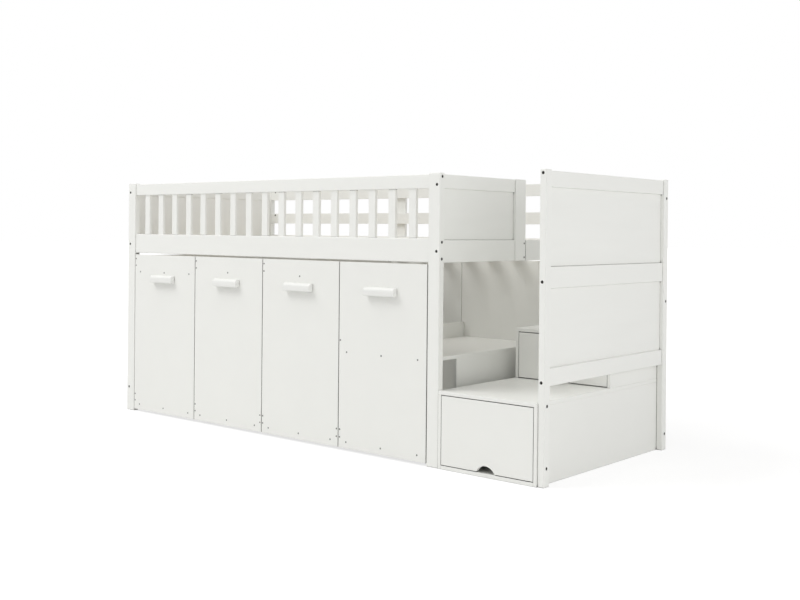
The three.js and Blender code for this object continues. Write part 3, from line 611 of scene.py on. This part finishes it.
def handle_profile():
    """The handle's section in Y and Z, once round: the band's foot, up its back, the shoulder's quarter
    circle, down the lip, round the lip's lower edge, up behind it, and round the finger room's quarter
    circle to the band. With it comes a cheek's section, whose finger room is drawn down level with the lip,
    a little off the panel."""
    shoulder = arc((-10.0, -15.0), 15.0, 90.0, 180.0, 12)
    lip = arc((-22.0, -33.0), 3.0, 180.0, 360.0, 9)
    fingers = arc((-11.0, -22.0), 8.0, 180.0, 90.0, 8)
    band = np.array([[0.0, -14.0], [0.0, 0.0]])
    cheek_lip = np.where(lip[:, :1] > -22.0, np.stack([lip[:, 0], 0 * lip[:, 0] - HANDLE_DROP], -1), lip)
    below = np.stack([np.linspace(-17.0, -4.5, 8), np.full(8, -HANDLE_DROP)], -1)
    foot = np.array([[-CHEEK_OFF_PANEL, -HANDLE_DROP], [0.0, 0.0]])
    open_section = np.concatenate([band, shoulder, lip, fingers])
    closed_section = np.concatenate([foot, shoulder, cheek_lip, below])
    return open_section, closed_section


def drawn_along_x(profile, end_profile, length, ease, wall):
    """A section carried along X between two walls of another section. Towards each end the wall shrinks
    inwards along its own normals by a quarter circle, ease x (1 - sqrt(1 - t squared)), which rounds the
    end over. Returns rings of points, from the far end to the near one."""
    before, after = np.roll(end_profile, 1, 0), np.roll(end_profile, -1, 0)
    tangent = after - before
    normal = np.stack([tangent[:, 1], -tangent[:, 0]], -1)
    normal /= np.linalg.norm(normal, axis=1, keepdims=True)
    turn = np.radians([90.0, 60.0, 30.0, 0.0])
    inward = ease * (1 - np.cos(turn))
    along = ease * (1 - np.sin(turn))
    eased = end_profile[None] - normal[None] * inward[:, None, None]
    section = np.concatenate([eased, [end_profile, profile, profile, end_profile], eased[::-1]])
    x = np.concatenate([length - along, [length - wall, length - wall, wall, wall], along[::-1]])
    return np.concatenate([np.broadcast_to(x[:, None, None], (*section.shape[:2], 1)), section], -1)


def moulded_plastic(name, colour, roughness):
    """Moulded plastic: a faint spark-eroded texture and a slow variation in its gloss."""
    material, tree, shader, where = finish(name)
    slow = noise(tree, where, 30.0, 2.0)
    darker = tuple(0.985 * channel for channel in colour)
    tree.links.new(mixed(tree, slow, darker, colour), shader.inputs["Base Color"])
    tree.links.new(between(tree, slow, 0.3, 0.7, roughness, roughness + 0.08), shader.inputs["Roughness"])
    tree.links.new(relief(tree, noise(tree, where, 2600.0, 1.0), 0.00002), shader.inputs["Normal"])
    return material


white_plastic = moulded_plastic("white_plastic", (0.845, 0.848, 0.822), 0.42)
rings = drawn_along_x(*handle_profile(), HANDLE_LENGTH, HANDLE_EASE, HANDLE_CHEEK)
ring_count, ring_size = rings.shape[:2]
far_end = list(range(ring_size))
near_end = [(ring_count - 1) * ring_size + place for place in reversed(far_end)]
handle_faces = [*wrapped_faces(ring_count, ring_size).tolist(), far_end, near_end]
for name, start in zip(UNIT_NAMES, UNIT_LEFTS):
    corner = np.array([start + (UNIT_WIDTH - HANDLE_LENGTH) / 2, 0.0, HANDLE_TOP])
    points = rings.reshape(-1, 3) + corner
    handle = new_piece(name + "_moulded_handle", points, handle_faces, white_plastic, name + "_unit",
                       "handle_plastic")
    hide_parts(name + "_handle")
    screws = [(start + centre + side * HANDLE_SCREW_REACH, PANEL_THICK + SCREW_PROUD, HANDLE_SCREWS, back)
              for side in (-1, 1)]
    new_piece(name + "_handle_screws", *spread(*screw, screws), zinc_steel, name + "_unit")

# WHEEL SETS
# Two moulded wheels pressed on a steel axle, under the front and the rear of each unit. A wheel has a soft
# tyre with a shallow groove, and a hub whose face is hollowed between five spokes.

WHEEL_RADIUS = 13.0
WHEEL_TRACK = 360.0
WHEEL_WIDTH = 12.0
AXLE_RADIUS = 3.0
AXLE_ENDS = 110.0


def wheel():
    """A wheel about the X axis. Its section runs from the near hub over the tyre to the far hub and back
    through the bore. The hub's faces sink by up to 1.6 mm where the cosine of five times the angle is low,
    which leaves the spokes."""
    angles = np.linspace(0.0, 2 * np.pi, 60, endpoint=False)
    half = WHEEL_WIDTH / 2
    radius = np.array([2.9, 4.6, 5.2, 8.2, 8.8, 10.2, 10.4, 12.0, 12.8, 13.0, 13.0, 12.5])
    set_in = np.array([0, 0, 0.3, 0.3, 0, 0, 0.4, 0.5, 1.2, 2.0, half - 1.2, half - 0.7])
    across = half - set_in
    hollow = np.array([0, 0, 1.0, 1.0, 0, 0, 0, 0, 0, 0, 0, 0])
    dip = 1.6 * np.clip(0.5 - 1.4 * np.cos(5 * angles), 0.0, 1.0)
    near = across[:, None] - hollow[:, None] * dip[None, :]
    x = np.concatenate([near, -near[::-1]])
    ring = np.concatenate([radius, radius[::-1]])[:, None]
    points = np.stack([x, ring * np.cos(angles), ring * np.sin(angles)], -1)
    return points.reshape(-1, 3), wrapped_faces(len(ring), angles.size, bored=True)


def axle_rod(reach):
    """A round bar about the X axis with its ends chamfered and closed to a point at the middle."""
    angles = np.linspace(0.0, 2 * np.pi, 24, endpoint=False)
    x = np.array([reach, reach, reach - 0.5, -reach + 0.5, -reach, -reach])[:, None]
    ring = np.array([0.0, AXLE_RADIUS - 0.5, AXLE_RADIUS, AXLE_RADIUS, AXLE_RADIUS - 0.5, 0.0])[:, None]
    points = np.stack([x + 0 * angles, ring * np.cos(angles), ring * np.sin(angles)], -1)
    return points.reshape(-1, 3), wrapped_faces(len(ring), angles.size)


grey_plastic = moulded_plastic("grey_plastic", (0.19, 0.195, 0.20), 0.45)
wheel_points, wheel_faces = wheel()
axle_points, axle_faces = axle_rod(WHEEL_TRACK / 2 + WHEEL_WIDTH / 2 - 0.2)
for name, start in zip(UNIT_NAMES, UNIT_LEFTS):
    for end, y in (("front", AXLE_ENDS), ("rear", UNIT_DEPTH - AXLE_ENDS)):
        middle = np.array([start + centre, y, WHEEL_RADIUS])
        pair = [wheel_points + middle + np.array([side * WHEEL_TRACK / 2, 0.0, 0.0]) for side in (-1, 1)]
        faces = np.concatenate([wheel_faces, wheel_faces + len(wheel_points)])
        body = name + "_" + end + "_wheels"
        wheels = new_piece(body, np.concatenate(pair), faces, grey_plastic, body, "wheel_plastic")
        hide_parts(name + "_" + end + "_wheelset")
        new_piece(name + "_" + end + "_axle", axle_points + middle, axle_faces, zinc_steel, body)

# HANGING RODS
# A round steel tube, powder coated white like the boards, in a shallow flanged socket on each panel.

ROD_RADIUS = 11.0
ROD_START, ROD_END = 15.3, 869.7


def flanged_rod(start, end):
    """A tube about the Y axis whose ends widen in a stepped flange: radii carried along Y and turned
    round."""
    angles = np.linspace(0.0, 2 * np.pi, 48, endpoint=False)
    reach = np.array([0.0, 0.0, 2.4, 3.0, 3.0, 9.0, 10.0, 10.0])
    radius = np.array([0.0, 20.0, 20.0, 19.4, 14.6, 14.0, 13.4, ROD_RADIUS])
    y = np.concatenate([start + reach, end - reach[::-1]])[:, None]
    ring = np.concatenate([radius, radius[::-1]])[:, None]
    points = np.stack([ring * np.cos(angles), y + 0 * angles, ring * np.sin(angles)], -1)
    return points.reshape(-1, 3), wrapped_faces(len(ring), angles.size)


for name, start in zip(UNIT_NAMES[1:3], UNIT_LEFTS[1:3]):
    points, faces = flanged_rod(ROD_START, ROD_END)
    points = points + np.array([start + centre, 0.0, ROD_HEIGHT])
    rod = new_piece(name + "_hanging_rod", points, faces, white_plastic, name + "_unit", "board_paint")
    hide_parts(name + "_rod")

# ROOM
# A pale floor that keeps the bed's shadow, soft studio light from above on the left, from the right and
# from the front, and the camera where the photograph was taken from. Rays from the camera, mirrors and
# glass see the floor and the world as white.

FLOOR_REACH = 60.0
WORLD_LIGHT = 0.45
WORLD_COLOUR = (1.0, 0.992, 0.995, 1.0)
FLOOR_COLOUR = (0.86, 0.86, 0.85, 1.0)
floor_mesh = bpy.data.meshes.new("floor")
corners = [(-FLOOR_REACH, -FLOOR_REACH, 0), (FLOOR_REACH, -FLOOR_REACH, 0), (FLOOR_REACH, FLOOR_REACH, 0),
           (-FLOOR_REACH, FLOOR_REACH, 0)]
floor_mesh.from_pydata(corners, [], [(0, 1, 2, 3)])
floor = bpy.data.objects.new("floor", floor_mesh)
bpy.context.scene.collection.objects.link(floor)


def seen_rays(tree):
    """1 for rays from the camera, a mirror or glass, and 0 for the light between surfaces."""
    ray = add(tree, "LightPath").outputs
    seen, mirrored, through = ray["Is Camera Ray"], ray["Is Glossy Ray"], ray["Is Transmission Ray"]
    either = add(tree, "Math", {0: seen, 1: mirrored}, operation="MAXIMUM").outputs[0]
    return add(tree, "Math", {0: either, 1: through}, operation="MAXIMUM").outputs[0]


floor_material, tree, shader, where = finish("studio_floor")
shader.inputs["Base Color"].default_value = FLOOR_COLOUR
shader.inputs["Roughness"].default_value = 0.9
glow = add(tree, "Emission", {"Color": (1.0, 1.0, 1.0, 1.0), "Strength": 1.2})
away = add(tree, "VectorMath", {0: where}, operation="LENGTH").outputs["Value"]
share = add(tree, "Math", {0: seen_rays(tree), 1: between(tree, away, 1.8, 3.6, 0.6, 1.0)},
            operation="MULTIPLY").outputs[0]
blend = add(tree, "MixShader", {0: share, 1: shader.outputs[0], 2: glow.outputs[0]})
tree.links.new(blend.outputs[0], tree.nodes["Material Output"].inputs["Surface"])
floor_mesh.materials.append(floor_material)

scene = bpy.context.scene
scene.world = bpy.data.worlds.new("studio")
scene.world.use_nodes = True
tree = scene.world.node_tree
tree.nodes.clear()
lit = add(tree, "Background", {"Color": WORLD_COLOUR, "Strength": WORLD_LIGHT})
seen = add(tree, "Background", {"Color": (1.0, 1.0, 1.0, 1.0), "Strength": 1.0})
both = add(tree, "MixShader", {0: seen_rays(tree), 1: lit.outputs[0], 2: seen.outputs[0]})
tree.links.new(both.outputs[0], add(tree, "OutputWorld").inputs["Surface"])


def softbox(name, place, aim, size, power):
    """A square area lamp at a place, turned to what it lights."""
    lamp = bpy.data.lights.new(name, "AREA")
    lamp.size, lamp.energy = size, power
    made = bpy.data.objects.new(name, lamp)
    made.location = place
    made.rotation_euler = (Vector(aim) - Vector(place)).to_track_quat("-Z", "Y").to_euler()
    scene.collection.objects.link(made)


softbox("high_left", (-3.76, -4.28, 7.32), (0.4, 0.2, 0.6), 4.6, 367.0)
softbox("right", (6.0, 0.6, 2.6), (1.2, 0.0, 0.6), 4.0, 47.0)
softbox("front_right", (5.6, -2.6, 1.0), (1.2, 0.0, 0.6), 3.0, 50.0)
softbox("overhead", (0.2, 0.0, 5.0), (0.2, 0.0, 0.0), 4.0, 49.0)
softbox("low_front", (0.0, -6.0, 1.6), (0.2, 0.0, 0.6), 4.0, 10.0)

FOCAL = 1074.2
IMAGE_WIDTH = 800.0
SENSOR_WIDTH = 36.0
LENS_SHIFT = -0.0804
CAMERA_PLACE = (3.433, -3.8214, 0.9418)
azimuth, elevation, roll = math.radians(40.465), math.radians(0.244), math.radians(0.531)
behind = Vector((math.sin(azimuth) * math.cos(elevation), -math.cos(azimuth) * math.cos(elevation),
                 math.sin(elevation)))
level = Vector((math.cos(azimuth), math.sin(azimuth), 0.0))
upright = behind.cross(level)
sideways = math.cos(roll) * level + math.sin(roll) * upright
upwards = math.cos(roll) * upright - math.sin(roll) * level
turn = Matrix((sideways, upwards, behind)).transposed()
lens = bpy.data.cameras.new("camera")
lens.sensor_width = SENSOR_WIDTH
lens.lens = FOCAL * SENSOR_WIDTH / IMAGE_WIDTH
lens.shift_y = LENS_SHIFT
camera = bpy.data.objects.new("camera", lens)
camera.matrix_world = Matrix.Translation(CAMERA_PLACE) @ turn.to_4x4()
scene.collection.objects.link(camera)
scene.camera = camera
scene.view_settings.view_transform = "Standard"
